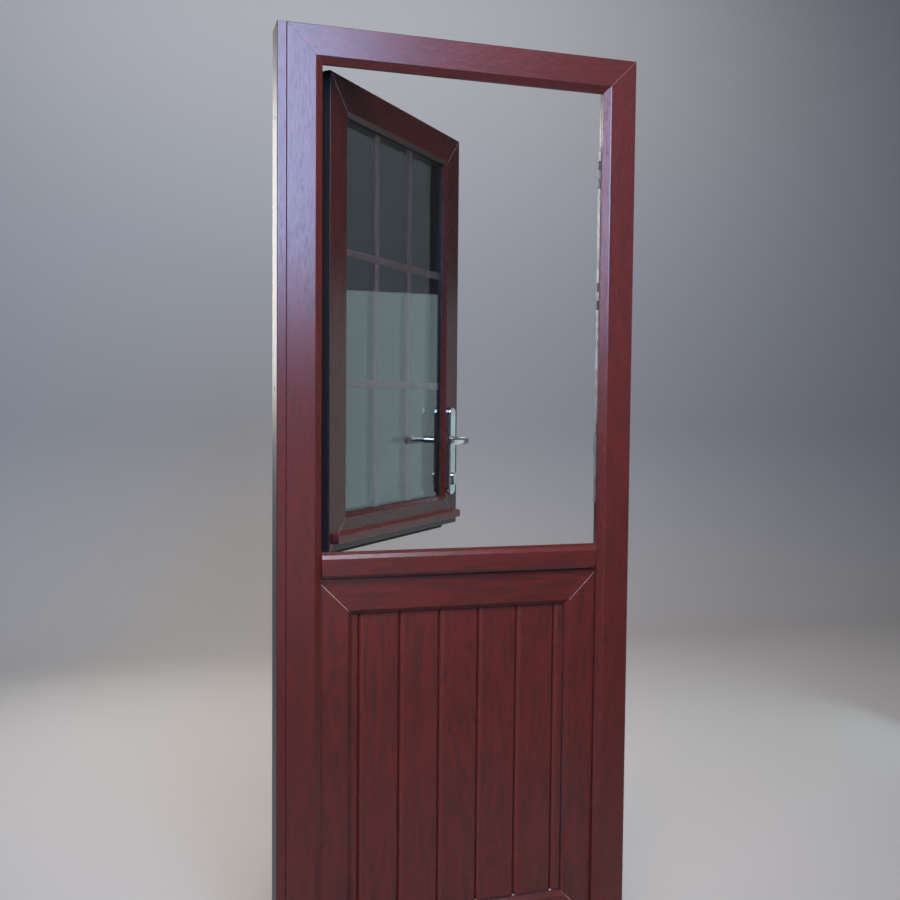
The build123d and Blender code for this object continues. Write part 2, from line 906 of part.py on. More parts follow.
def lever():
    """A lever handle, at the origin of its turning axis, standing out along +Z and pointing along -X."""
    flange = Pos(0, 0, -4.6) * Cylinder(neck_radius + 3, 3)
    neck = Pos(0, 0, lever_reach / 2 - 2.5) * Cylinder(neck_radius, lever_reach + 5)
    elbow = Pos(0, 0, lever_reach) * Sphere(neck_radius)
    bow = lever_reach + lever_bow
    outline = (
        (-4, lever_reach, 17, 15),
        (lever_length * 0.265, bow, 18, 13),
        (lever_length * 0.665, bow, 19, 11),
        (lever_length, lever_reach, 17, 9),
    )
    sections = []
    for along, out, tall, thick in outline:
        plane = Plane(origin=(-along, 0, out), x_dir=(0, 1, 0), z_dir=(1, 0, 0))
        sections.append(plane * Ellipse(tall / 2, thick / 2))
    arm = loft(sections)
    tip = Pos(-lever_length, 0, lever_reach) * Sphere(4.5)
    handle = flange + neck + elbow + arm + tip
    return handle - Box(spindle_size, spindle_size, 2 * lever_socket)


def outside_lever():
    place = Pos(spindle_x, front + plate_face, lever_height) * Rot(90, 0, 0)
    return place * lever()


def inside_lever():
    place = Pos(spindle_x, front + plate_back, lever_height) * Rot(-90, 0, 0)
    return place * lever()


def spindle():
    low = plate_face - lever_socket + 1
    high = plate_back + lever_socket - 1
    half = spindle_size / 2
    bar = block(spindle_x - half, spindle_x + half, low, high, lever_height - half, lever_height + half)
    case_low = groove_middle - case_thickness / 2
    case_high = groove_middle + case_thickness / 2
    return bar + rod_across(spindle_x, lever_height, case_low, case_high, follower_radius)


def lower_handle_base():
    x = lower_spindle_x
    z = lower_handle_height
    origin = (x, front + leaf_inside, z - lower_base_drop)
    plane = Plane(origin=origin, x_dir=(-1, 0, 0), z_dir=(0, 1, 0))
    outline = RectangleRounded(lower_base_width, lower_base_height, lower_base_corner)
    base = extrude(plane * outline, amount=lower_base_thickness)
    base = fillet(base.faces().sort_by(Axis.Y)[-1].edges(), 2.5)
    hole_end = leaf_inside + lower_base_thickness + 3
    return base - rod_across(x, z, leaf_inside - 1, hole_end, neck_radius + turning_gap)


def lower_handle():
    x = lower_spindle_x
    z = lower_handle_height
    case_low = groove_middle - case_thickness / 2
    case_high = groove_middle + case_thickness / 2
    half = lower_spindle_size / 2
    reach = lower_handle_reach
    spindle_bar = block(x - half, x + half, case_low, leaf_inside, z - half, z + half)
    follower = rod_across(x, z, case_low, case_high, lower_follower_radius)
    neck = rod_across(x, z, leaf_inside - 4, leaf_inside + reach, neck_radius)
    knuckle = Pos(x, front + leaf_inside + reach, z) * Sphere(neck_radius)
    outline = (
        (-4, reach, 17, 15),
        (lower_handle_length * 0.286, reach + 4, 18, 13),
        (lower_handle_length, reach + 2, 16, 9),
    )
    sections = []
    for along, out, tall, thick in outline:
        origin = (x - along, front + leaf_inside + out, z)
        plane = Plane(origin=origin, x_dir=(0, 0, 1), z_dir=(1, 0, 0))
        sections.append(plane * Ellipse(tall / 2, thick / 2))
    arm = loft(sections)
    return spindle_bar + follower + neck + knuckle + arm


# Lower leaf

def grooved_panel():
    inset = pane_inset
    x_edge = leaf_edge - inset
    z_low = lower_bottom + inset
    z_high = lower_top - inset
    panel = block(-x_edge, x_edge, glass_face, glass_inside, z_low, z_high)
    for index in range(groove_count):
        x = first_groove + index * board_pitch
        for depth in (glass_face, glass_inside):
            side = groove_width / 2 ** 0.5
            cutter = Rot(0, 0, 45) * Box(side, side, z_high - z_low + 2)
            panel -= Pos(x, front + depth, (z_low + z_high) / 2) * cutter
    return panel


def top_bar():
    nose = (
        (nib_thickness, lower_top + top_bar_lift),
        (top_bar_front + 4, lower_top + top_bar_lift),
        (top_bar_front, lower_top + top_bar_lift + 5.5),
        (top_bar_front, bar_tip - 14),
        (top_bar_front + 5, bar_tip - 6),
        (top_bar_front + 7.5, bar_tip - 4.5),
        (top_bar_front + 8, bar_tip),
        (nib_thickness, bar_tip),
    )
    nose_bar = bar_along(
        nose,
        frame_sight - frame_edge + top_bar_gap_hinge,
        frame_edge - frame_sight - top_bar_gap_lock,
    )
    front_edges = nose_bar.edges().filter_by(Axis.X).group_by(Axis.Y)[0]
    nose_bar = fillet(front_edges, 2)
    neck = block(
        frame_sight - frame_edge + top_bar_gap_hinge,
        frame_edge - frame_sight - top_bar_gap_lock,
        nib_thickness - 1,
        leaf_face,
        lower_top + top_bar_lift,
        bar_floor,
    )
    body = block(-leaf_edge, leaf_edge, leaf_face, frame_depth, lower_top, bar_floor)
    seal = block(
        frame_sight - frame_edge + top_bar_gap_hinge,
        frame_edge - frame_sight - top_bar_gap_lock,
        nib_thickness - 1,
        leaf_face - seal_clearance,
        upper_bottom + 1,
        bar_tip - 1,
    )
    bar = nose_bar + neck + body + seal
    return bar - block(
        -leaf_edge - 1,
        leaf_edge + 1,
        leaf_face + top_bar_wall,
        frame_depth - top_bar_wall,
        lower_top + top_bar_wall,
        bar_floor - top_bar_wall,
    )


# Keeps

def keep_places():
    upper_first = upper_keep_low + keep_screw_inset
    upper_last = upper_keep_high - keep_screw_inset
    lower_first = lower_keep_low + keep_screw_inset
    lower_last = lower_keep_high - keep_screw_inset
    heights = [upper_first, (upper_first + latch_height) / 2]
    for step in (1, 2, 3, 4):
        heights.append(latch_height + (upper_last - latch_height) * step / 4)
    for step in range(5):
        heights.append(lower_first + (lower_last - lower_first) * step / 4)
    depth = frame_depth - keep_screw_margin
    return [from_left(floor_x - keep_thickness, depth, z) for z in heights]


def upper_keep_rail():
    plate = keep_rail(upper_keep_low, upper_keep_high, upper_cam_heights)
    face = floor_x - keep_thickness
    plate += block(
        face - latch_keep_thickness,
        face + 1,
        groove_low,
        frame_depth - keep_margin,
        latch_height - latch_keep_below,
        latch_height + latch_keep_above,
    )
    window = block(
        face - latch_keep_thickness - 1,
        floor_x + 1,
        groove_low + 2,
        groove_high - 2,
        latch_height - latch_tall / 2 - latch_keep_margin,
        latch_height + latch_tall / 2 + latch_keep_margin,
    )
    return drilled(plate - window, keep_places())


def lower_keep_rail():
    return drilled(keep_rail(lower_keep_low, lower_keep_high, lower_cam_heights), keep_places())


def main():
    os.makedirs("parts", exist_ok=True)
    hinge_places = frame_hinge_places()
    fixed = {
        "outer_frame": drilled(outer_frame(), hinge_places + keep_places()),
        "extension_strip": extension_strip(),
        "hinge_jamb_steel": drilled(jamb_steel(-1), hinge_places),
        "lock_jamb_steel": drilled(jamb_steel(1), keep_places()),
        "frame_gasket": frame_gasket(),
        "upper_keep_rail": upper_keep_rail(),
        "lower_keep_rail": lower_keep_rail(),
        "frame_screws": screws(hinge_places + keep_places()),
    }
    hinge_names = ("upper_leaf_top", "upper_leaf_bottom", "lower_leaf_top", "lower_leaf_bottom")
    for name, z in zip(hinge_names, upper_hinge_heights + lower_hinge_heights):
        fixed[name + "_hinge_flag"] = drilled(hinge_frame_flag(z), hinge_places)
        fixed[name + "_hinge_pin"] = hinge_pin(z)

    lower_places = leaf_hinge_places(lower_hinge_heights)
    lower_beads = bead_set(lower_bottom, lower_top)
    lower = {
        "lower_sash": lower_sash(),
        "grooved_panel": grooved_panel(),
        "lower_glazing_gasket": glazing_gasket(lower_bottom, lower_top),
        "lower_bottom_bead": lower_beads[0],
        "lower_top_bead": lower_beads[1],
        "lower_left_bead": lower_beads[2],
        "lower_right_bead": lower_beads[3],
        "lower_leaf_seal": leaf_seal(lower_bottom, lower_top),
        "top_bar": top_bar(),
        "lower_top_leaf_flag": drilled(hinge_leaf_flag(lower_hinge_heights[0]), lower_places),
        "lower_bottom_leaf_flag": drilled(hinge_leaf_flag(lower_hinge_heights[1]), lower_places),
        "lower_leaf_screws": screws(lower_places + lower_faceplate_places),
        "lower_faceplate": lower_faceplate(),
        "lower_lock_case": lower_lock_case(),
        "lower_cam_bar": lower_cam_bar(),
        "lower_handle_base": lower_handle_base(),
        "lower_handle": lower_handle(),
    }

    upper_places = leaf_hinge_places(upper_hinge_heights)
    upper_beads = bead_set(upper_bottom, upper_top)
    upper = {
        "upper_sash": upper_sash(),
        "outer_pane": pane(glass_face),
        "inner_pane": pane(glass_face + pane_thickness + pane_cavity),
        "spacer_frame": spacer_frame(),
        "glazing_bars": glazing_bars(),
        "upper_glazing_gasket": glazing_gasket(upper_bottom, upper_top),
        "upper_bottom_bead": upper_beads[0],
        "upper_top_bead": upper_beads[1],
        "upper_left_bead": upper_beads[2],
        "upper_right_bead": upper_beads[3],
        "upper_leaf_seal": leaf_seal(upper_bottom, upper_top),
        "weather_bar": weather_bar(),
        "upper_top_leaf_flag": drilled(hinge_leaf_flag(upper_hinge_heights[0]), upper_places),
        "upper_bottom_leaf_flag": drilled(hinge_leaf_flag(upper_hinge_heights[1]), upper_places),
        "upper_faceplate": upper_faceplate(),
        "upper_lock_case": upper_lock_case(),
        "upper_cam_bar": upper_cam_bar(),
        "latch_bolt": latch_bolt(),
        "outside_backplate": outside_backplate(),
        "inside_backplate": inside_backplate(),
        "outside_lever": outside_lever(),
        "inside_lever": inside_lever(),
        "spindle": spindle(),
        "key_cylinder": key_cylinder(),
        "key_plug": key_plug(),
    }

    upper_screw_places = [opening * place for place in upper_places + upper_faceplate_places]
    placed = {"upper_leaf_screws": screws(upper_screw_places), "handle_screws": handle_screws()}

    for name, shape in (fixed | lower | placed).items():
        export_step(shape, "parts/" + name + ".step")
    for name, shape in upper.items():
        export_step(opening * shape, "parts/" + name + ".step")


main()
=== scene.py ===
import bpy
import bmesh
import math
from mathutils import Matrix, Vector, noise


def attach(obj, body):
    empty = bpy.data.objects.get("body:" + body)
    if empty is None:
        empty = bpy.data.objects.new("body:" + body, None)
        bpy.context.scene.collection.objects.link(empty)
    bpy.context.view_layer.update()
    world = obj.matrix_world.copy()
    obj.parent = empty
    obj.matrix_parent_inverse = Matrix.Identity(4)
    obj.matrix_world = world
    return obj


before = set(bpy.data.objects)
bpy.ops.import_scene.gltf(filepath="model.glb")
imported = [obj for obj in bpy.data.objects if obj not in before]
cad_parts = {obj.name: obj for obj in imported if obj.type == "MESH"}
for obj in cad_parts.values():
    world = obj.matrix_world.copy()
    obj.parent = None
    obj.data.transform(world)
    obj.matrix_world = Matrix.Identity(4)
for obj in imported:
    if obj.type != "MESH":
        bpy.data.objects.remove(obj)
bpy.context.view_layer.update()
print("frame loaded,", len(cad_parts), "nodes")

# The door's own sizes in millimetres, both leaves shut. X right from outside, depth into the house, Z up.
door = {
    "frontY": -35.0,
    "frameHalf": 380.5,
    "stripEdge": 399.5,
    "frameHeight": 1982.0,
    "frameFlat": 59.0,
    "frameNib": 73.0,
    "nibBevelDepth": 11.0,
    "frameBack": (70.0, 52.5),  # depth and width of the back face
    "leafHalf": 315.5,
    "leafFront": 20.0,
    "leafFlat": 66.5,
    "leafRail": 75.5,
    "leafBevelDepth": 8.0,
    "leafBack": (90.0, 55.0),
    "flangeReach": 20.0,
    "lowerLeaf": (65.0, 868.0),
    "upperLeaf": (918.0, 1917.0),
    "hinge": (-349.5, 46.0),
    "openDegrees": 47.8,
}
mm = 0.001  # the scene is in metres

hinge = Vector((door["hinge"][0], door["hinge"][1], 0.0)) * mm
openPlace = (
    Matrix.Translation(hinge)
    @ Matrix.Rotation(math.radians(door["openDegrees"]), 4, "Z")
    @ Matrix.Translation(-hinge)
)


def spot(x, depth, z):  # a place on the shut door, in metres
    return Vector((x, door["frontY"] + depth, z)) * mm


# Camera, as fitted to the photograph

view = {
    "place": (-0.65985, -2.08489, 1.23632),
    "yaw": 16.8923,
    "pitch": -2.6943,
    "roll": 0.5168,
    "focalPixels": 1020.2,
    "picturePixels": 900,
    "sensorWidth": 36.0,
    "nearest": 0.05,
}


def makeCamera():
    yaw, pitch, roll = (math.radians(view[key]) for key in ("yaw", "pitch", "roll"))
    ahead = Vector((math.sin(yaw) * math.cos(pitch), math.cos(yaw) * math.cos(pitch), math.sin(pitch)))
    level = Vector((math.cos(yaw), -math.sin(yaw), 0.0))
    upward = level.cross(ahead)
    right = level * math.cos(roll) + upward * math.sin(roll)
    top = upward * math.cos(roll) - level * math.sin(roll)
    data = bpy.data.cameras.new("photoCamera")
    data.sensor_width = view["sensorWidth"]
    data.lens = view["focalPixels"] * data.sensor_width / view["picturePixels"]
    data.clip_start = view["nearest"]
    camera = bpy.data.objects.new("photoCamera", data)
    bpy.context.scene.collection.objects.link(camera)
    turn = Matrix((right, top, -ahead)).transposed().to_4x4()
    camera.matrix_world = Matrix.Translation(view["place"]) @ turn
    bpy.context.scene.camera = camera


makeCamera()
print("camera placed")


# Node helpers

def newMaterial(name):
    material = bpy.data.materials.new(name)
    material.use_nodes = True
    return material, material.node_tree, material.node_tree.nodes["Principled BSDF"]


def feed(tree, socket, value):
    if isinstance(value, bpy.types.NodeSocket):
        tree.links.new(value, socket)
    else:
        socket.default_value = value


def put(tree, kind, sockets=None, **settings):
    item = tree.nodes.new("ShaderNode" + kind)
    for key, value in settings.items():
        setattr(item, key, value)
    for key, value in (sockets or {}).items():
        feed(tree, item.inputs[key], value)
    return item


def calc(tree, operation, *values):
    item = tree.nodes.new("ShaderNodeMath")
    item.operation = operation
    for index, value in enumerate(values):
        feed(tree, item.inputs[index], value)
    return item.outputs[0]


def between(tree, factor, low, high):
    return put(tree, "Mix", {0: factor, 2: low, 3: high}, data_type="FLOAT").outputs[0]


def tint(tree, factor, low, high):  # low and high are colours of three numbers, or sockets
    low, high = ((*value, 1.0) if isinstance(value, tuple) else value for value in (low, high))
    return put(tree, "Mix", {0: factor, 6: low, 7: high}, data_type="RGBA").outputs[2]


def ramp(tree, factor, stops):
    item = put(tree, "ValToRGB", {0: factor})
    band = item.color_ramp
    band.elements[0].position, band.elements[0].color = stops[0][0], (*stops[0][1], 1.0)
    band.elements[1].position, band.elements[1].color = stops[-1][0], (*stops[-1][1], 1.0)
    for place, colour in stops[1:-1]:
        band.elements.new(place).color = (*colour, 1.0)
    return item.outputs[0]


def grey(tree, factor, low, high):  # 0 at low, 1 at high, level beyond them; low may be the larger one
    item = put(tree, "MapRange", {"Value": factor, "From Min": low, "From Max": high}, clamp=True)
    return item.outputs[0]


def cloudy(tree, place, scale, detail, distortion=0.0):
    sockets = {"Vector": place, "Scale": scale, "Detail": detail, "Distortion": distortion}
    return put(tree, "TexNoise", sockets).outputs[0]


def stretch(tree, place, scale):
    return put(tree, "Mapping", {"Vector": place, "Scale": scale}).outputs[0]


def addRough(tree, shader, factor, rough, spread):
    feed(tree, shader.inputs["Roughness"], calc(tree, "ADD", rough, calc(tree, "MULTIPLY", factor, spread)))


def addRelief(tree, shader, height, relief, **settings):  # relief: strength and distance
    sockets = {"Height": height, "Strength": relief[0], "Distance": relief[1]}
    feed(tree, shader.inputs["Normal"], put(tree, "Bump", sockets, **settings).outputs[0])


def restPlace(tree, turned):  # place in the row frame with the leaf shut
    place = put(tree, "TexCoord").outputs["Object"]
    if not turned:
        return place
    away = put(tree, "VectorMath", {0: place, 1: tuple(hinge)}, operation="SUBTRACT").outputs[0]
    back = put(
        tree,
        "VectorRotate",
        {"Vector": away, "Angle": -math.radians(door["openDegrees"])},
        rotation_type="Z_AXIS",
    ).outputs[0]
    return put(tree, "VectorMath", {0: back, 1: tuple(hinge)}, operation="ADD").outputs[0]


# Rosewood foil: red and brown streaks along the grain, arched figure, fine pressed pores

foil = {
    "red": (0.142, 0.0205, 0.0165),
    "brown": (0.089, 0.0195, 0.0150),
    "redSpan": (0.30, 0.90),  # the blended figure, from all brown to all red
    "calmMiddle": 0.55,
    "archRings": 9.0,
    "archRise": 0.62,
    "archFall": 0.86,
    "cloudScale": 4.5,
    "cloudSpan": (0.35, 0.65),
    "poreColour": (0.030, 0.010, 0.009),
    "poreShare": 0.22,
    "grainRough": 0.55,
    "fibreRelief": 0.5,
    "poreRelief": -0.8,
    "relief": 0.35,
    "poreDepth": 0.00012,
    "gloss": 0.235,
    "poreDull": 0.06,
    "cloudDull": 0.05,
    "specular": 0.58,
    "core": (0.013, 0.0115, 0.0130),  # plastic that shows where the foil stops, at the outer edges
    "coreEdge": 0.0006,
    "coreRough": 0.5,
    "levelShift": 5.3,  # so that rails don't repeat the stiles
    "upperLeafShade": 0.60,  # painted shade: the upper leaf's foil darkened for the shade it stands in
}
grains = {
    "streak": {"across": 85.0, "along": 8.5, "detail": 1.6, "distortion": 0.6, "span": (0.34, 0.66)},
    "arch": {"across": 15.0, "along": 2.1, "detail": 1.5, "distortion": 0.5},
    "fibre": {"across": 420.0, "along": 20.0, "detail": 2.0, "distortion": 0.2, "span": (0.30, 0.70)},
    "pore": {"across": 1100.0, "along": 55.0, "detail": 1.0, "distortion": 0.0, "span": (0.42, 0.33)},
}
shares = {"streak": 0.42, "arch": 0.42, "fibre": 0.14, "cloud": 0.20}
dust = {
    "colour": (0.36, 0.26, 0.24),
    "speckScale": 260.0,
    "speckSpan": (0.77, 0.82),
    "patchScale": 6.0,
    "patchSpan": (0.53, 0.63),
    "share": 0.45,
}
boards = {
    "first": -223.5,
    "pitch": 88.0,
    "flank": (3.2, 11.0),
    # painted highlight: brighter red on the flank beside each groove
    "flankHighlightColour": (0.205, 0.036, 0.026),
    "flankHighlightShare": 0.45,
    "fall": 0.0011,
    # painted shade: a dark line in each groove
    "grooveShade": 2.2,
    "grooveShadeCore": 0.4,
    "grooveShadeColour": (0.020, 0.006, 0.005),
    "grooveShadeShare": 0.8,
}


def grainNoise(tree, key, across, y, along):
    look = grains[key]
    sockets = {
        0: calc(tree, "MULTIPLY", across, look["across"]),
        1: calc(tree, "MULTIPLY", y, look["across"]),
        2: calc(tree, "MULTIPLY", along, look["along"]),
    }
    stretched = put(tree, "CombineXYZ", sockets).outputs[0]
    sockets = {
        "Vector": stretched,
        "Scale": 1.0,
        "Detail": look["detail"],
        "Roughness": foil["grainRough"],
        "Distortion": look["distortion"],
    }
    return put(tree, "TexNoise", sockets).outputs[0]


def grainAxes(tree, x, z, grain, half, low, high):  # across, along, and the distance to a bare edge
    if grain == "upright":
        return x, z, calc(tree, "ADD", x, half) if half else None
    if grain == "level":
        return z, x, None
    # a mitred ring: the nearer edge tells which member this is
    fromSide = calc(tree, "SUBTRACT", half, calc(tree, "ABSOLUTE", x))
    fromEnd = calc(tree, "MINIMUM", calc(tree, "SUBTRACT", z, low), calc(tree, "SUBTRACT", high, z))
    upright = calc(tree, "LESS_THAN", fromSide, fromEnd)
    across = between(tree, upright, z, x)
    along = between(tree, upright, calc(tree, "ADD", x, foil["levelShift"]), z)
    return across, along, calc(tree, "MINIMUM", fromSide, fromEnd)


def redAmount(tree, streak, arch, fibre, cloud, calm):
    rings = calc(tree, "FRACT", calc(tree, "MULTIPLY", arch, foil["archRings"]))
    rise = grey(tree, rings, 0.0, foil["archRise"])
    arches = calc(tree, "MULTIPLY", rise, grey(tree, rings, 1.0, foil["archFall"]))
    streaks = grey(tree, streak, *grains["streak"]["span"])
    fibres = grey(tree, fibre, *grains["fibre"]["span"])
    clouds = grey(tree, cloud, *foil["cloudSpan"])
    blend = calc(tree, "MULTIPLY", streaks, shares["streak"])
    blend = calc(tree, "MULTIPLY_ADD", arches, shares["arch"], blend)
    blend = calc(tree, "MULTIPLY_ADD", fibres, shares["fibre"], blend)
    blend = calc(tree, "MULTIPLY_ADD", clouds, shares["cloud"], blend)
    middle = foil["calmMiddle"] * (1.0 - calm)
    return calc(tree, "MULTIPLY_ADD", grey(tree, blend, *foil["redSpan"]), calm, middle)


def addDust(tree, place, colour):
    speck = cloudy(tree, place, dust["speckScale"], 1.0)
    patch = cloudy(tree, place, dust["patchScale"], 2.0)
    specks, patches = grey(tree, speck, *dust["speckSpan"]), grey(tree, patch, *dust["patchSpan"])
    amount = calc(tree, "MULTIPLY", calc(tree, "MULTIPLY", specks, patches), dust["share"])
    return tint(tree, amount, colour, dust["colour"])


def addBoards(tree, x, colour, bump):  # each board falls away softly toward the groove at its left; the flank there gets a painted highlight and the groove a dark line of painted shade
    millimetres = calc(tree, "MULTIPLY_ADD", x, 1000.0, -boards["first"])
    fromGroove = calc(tree, "FLOORED_MODULO", millimetres, boards["pitch"])
    near, far = boards["flank"]
    flank = grey(tree, fromGroove, far, near)
    colour = tint(tree, calc(tree, "MULTIPLY", flank, boards["flankHighlightShare"]), colour, boards["flankHighlightColour"])
    # dark line of painted shade in the groove
    grooveShade = grey(tree, fromGroove, boards["grooveShade"], boards["grooveShade"] * boards["grooveShadeCore"])
    colour = tint(tree, calc(tree, "MULTIPLY", grooveShade, boards["grooveShadeShare"]), colour, boards["grooveShadeColour"])
    sockets = {"Height": flank, "Strength": 1.0, "Distance": boards["fall"], "Normal": bump.outputs[0]}
    return colour, put(tree, "Bump", sockets, invert=True)


def foilMaterial(
    name, grain, turned=False, shift=0.0, half=0.0, low=0.0, high=0.0, paintedShade=1.0, calm=1.0, boarded=False
):
    material, tree, shader = newMaterial(name)
    place = restPlace(tree, turned)
    x, y, z = put(tree, "SeparateXYZ", {0: place}).outputs
    across, along, edge = grainAxes(tree, x, z, grain, half, low, high)
    across = calc(tree, "ADD", across, shift)
    streak, arch, fibre, pore = (grainNoise(tree, key, across, y, along) for key in grains)
    cloud = cloudy(tree, place, foil["cloudScale"], 3.0)

    # the foil colours darkened here are a painted shade on the upper leaf
    brown, red = (tuple(part * paintedShade for part in foil[key]) for key in ("brown", "red"))
    colour = tint(tree, redAmount(tree, streak, arch, fibre, cloud, calm), brown, red)
    poreDark = grey(tree, pore, *grains["pore"]["span"])
    colour = tint(tree, calc(tree, "MULTIPLY", poreDark, foil["poreShare"]), colour, foil["poreColour"])
    colour = addDust(tree, place, colour)
    rough = calc(tree, "MULTIPLY_ADD", poreDark, foil["poreDull"], foil["gloss"])
    rough = calc(tree, "MULTIPLY_ADD", cloud, foil["cloudDull"], rough)
    height = calc(tree, "MULTIPLY", poreDark, foil["poreRelief"])
    height = calc(tree, "MULTIPLY_ADD", fibre, foil["fibreRelief"], height)
    bump = put(tree, "Bump", {"Height": height, "Strength": foil["relief"], "Distance": foil["poreDepth"]})
    if boarded:
        colour, bump = addBoards(tree, x, colour, bump)
    if edge is not None:
        bare = calc(tree, "LESS_THAN", edge, foil["coreEdge"])
        colour = tint(tree, bare, colour, foil["core"])
        rough = between(tree, bare, rough, foil["coreRough"])
    feed(tree, shader.inputs["Base Color"], colour)
    feed(tree, shader.inputs["Roughness"], rough)
    shader.inputs["Specular IOR Level"].default_value = foil["specular"]
    feed(tree, shader.inputs["Normal"], bump.outputs[0])
    return material


def leafFoil(name, leaf, turned, shift):
    low, high = (edge * mm for edge in door[leaf])
    # the upper leaf's foil gets a painted shade
    paintedShade = foil["upperLeafShade"] if turned else 1.0
    return foilMaterial(name, "ring", turned, shift, door["leafHalf"] * mm, low, high, paintedShade)


# Metals, rubber, glass, plastics. Relief is strength and distance in metres.

metals = {
    "chrome": {
        "colour": (0.74, 0.74, 0.75),
        "dull": (0.6068, 0.6068, 0.615),
        "rough": 0.09,
        "roughSpread": 0.10,
        "relief": (0.2, 0.00004),
    },
    "zinc": {
        "colour": (0.50, 0.51, 0.54),
        "dull": (0.30, 0.31, 0.35),
        "rough": 0.36,
        "roughSpread": 0.22,
        "relief": (0.2, 0.00012),
    },
}
brushed = {"smearScale": 38.0, "smearSpan": (0.42, 0.68), "stretch": (900.0, 900.0, 30.0)}
rubber = {
    "colour": (0.018, 0.018, 0.021),
    "dusty": (0.060, 0.058, 0.060),
    "dustScale": 26.0,
    "dustSpan": (0.45, 0.75),
    "rough": 0.42,
    "roughSpread": 0.3,
    "grainScale": 1400.0,
    "relief": (0.3, 0.0002),
}
glass = {
    "outerGlass": (0.80, 0.83, 0.83),
    # painted shade: the inner pane is tinted dark so the view through the glazing stays as dark as an unlit
    # room
    "shadeTintedInnerGlass": (0.135, 0.165, 0.168),
    "ior": 1.5,
    "smearScale": 9.0,
    "smearTwist": 0.6,
    "smearTone": 0.97,
    "smearSpan": (0.55, 0.9),
    "smearRough": 0.05,
    "waveScale": 2.4,
    "relief": (0.08, 0.002),
}
spacer = {
    "dark": (0.030, 0.034, 0.052),
    "light": (0.055, 0.060, 0.085),
    "cloudScale": 30.0,
    "metallic": 0.6,
    "rough": 0.3,
    "roughSpread": 0.2,
    # painted shade inside the breather holes
    "hole": (0.006, 0.006, 0.008),
    "holeScale": 420.0,
    "holeUneven": 0.05,
    "holeSpan": (0.30, 0.22),
    "relief": (0.5, 0.0003),
}
barWrap = {
    "streaks": ((0.30, (0.52, 0.31, 0.28)), (0.55, (0.64, 0.40, 0.36)), (0.75, (0.70, 0.47, 0.43))),
    "stretch": (120.0, 60.0, 9.0),
    "rough": 0.34,
    "roughSpread": 0.15,
    "poreScale": 700.0,
    "relief": (0.25, 0.0002),
}
plastics = {
    "seamPale": {"colours": ((0.62, 0.46, 0.43), (0.46, 0.30, 0.28)), "rough": 0.45, "scale": 160.0},
    "seamDull": {"colours": ((0.27, 0.17, 0.165), (0.19, 0.11, 0.11)), "rough": 0.62, "scale": 120.0},
    "capRed": {"colours": ((0.085, 0.013, 0.020), (0.055, 0.010, 0.016)), "rough": 0.35, "scale": 300.0},
    "plugNavy": {"colours": ((0.022, 0.012, 0.080), (0.030, 0.018, 0.100)), "rough": 0.30, "scale": 600.0},
    "pip": {"colours": ((0.72, 0.72, 0.74), (0.50, 0.49, 0.50)), "rough": 0.35, "scale": 500.0},
}
mottled = {"span": (0.35, 0.7), "roughSpread": 0.15, "relief": (0.25, 0.0003)}


def metalMaterial(name):  # fine drawn scratches under soft smears
    look = metals[name]
    material, tree, shader = newMaterial(name)
    place = restPlace(tree, False)
    smear = cloudy(tree, place, brushed["smearScale"], 4.0)
    scratch = cloudy(tree, stretch(tree, place, brushed["stretch"]), 1.0, 3.0)
    colour = tint(tree, grey(tree, smear, *brushed["smearSpan"]), look["colour"], look["dull"])
    feed(tree, shader.inputs["Base Color"], colour)
    shader.inputs["Metallic"].default_value = 1.0
    addRough(tree, shader, smear, look["rough"], look["roughSpread"])
    addRelief(tree, shader, scratch, look["relief"])
    return material


def rubberMaterial(name):
    material, tree, shader = newMaterial(name)
    place = restPlace(tree, False)
    dusty = cloudy(tree, place, rubber["dustScale"], 5.0)
    grain = cloudy(tree, place, rubber["grainScale"], 2.0)
    colour = tint(tree, grey(tree, dusty, *rubber["dustSpan"]), rubber["colour"], rubber["dusty"])
    feed(tree, shader.inputs["Base Color"], colour)
    addRough(tree, shader, dusty, rubber["rough"], rubber["roughSpread"])
    addRelief(tree, shader, grain, rubber["relief"])
    return material


def glassMaterial(name):  # slightly wavy, with faint smears
    material, tree, shader = newMaterial(name)
    place = restPlace(tree, False)
    smear = cloudy(tree, place, glass["smearScale"], 5.0, glass["smearTwist"])
    wave = cloudy(tree, place, glass["waveScale"], 1.0)
    smeared = tuple(part * glass["smearTone"] for part in glass[name])
    feed(tree, shader.inputs["Base Color"], tint(tree, smear, glass[name], smeared))
    shader.inputs["Transmission Weight"].default_value = 1.0
    shader.inputs["IOR"].default_value = glass["ior"]
    rough = calc(tree, "MULTIPLY", grey(tree, smear, *glass["smearSpan"]), glass["smearRough"])
    feed(tree, shader.inputs["Roughness"], rough)
    addRelief(tree, shader, wave, glass["relief"])
    return material


def spacerMaterial(name):  # dark anodised strip with rows of tiny breather holes, painted near black for the shade inside them
    material, tree, shader = newMaterial(name)
    place = restPlace(tree, True)
    sockets = {"Vector": place, "Scale": spacer["holeScale"], "Randomness": spacer["holeUneven"]}
    hole = grey(tree, put(tree, "TexVoronoi", sockets).outputs["Distance"], *spacer["holeSpan"])
    cloud = cloudy(tree, place, spacer["cloudScale"], 3.0)
    base = tint(tree, cloud, spacer["dark"], spacer["light"])
    feed(tree, shader.inputs["Base Color"], tint(tree, hole, base, spacer["hole"]))
    shader.inputs["Metallic"].default_value = spacer["metallic"]
    addRough(tree, shader, cloud, spacer["rough"], spacer["roughSpread"])
    addRelief(tree, shader, hole, spacer["relief"], invert=True)
    return material


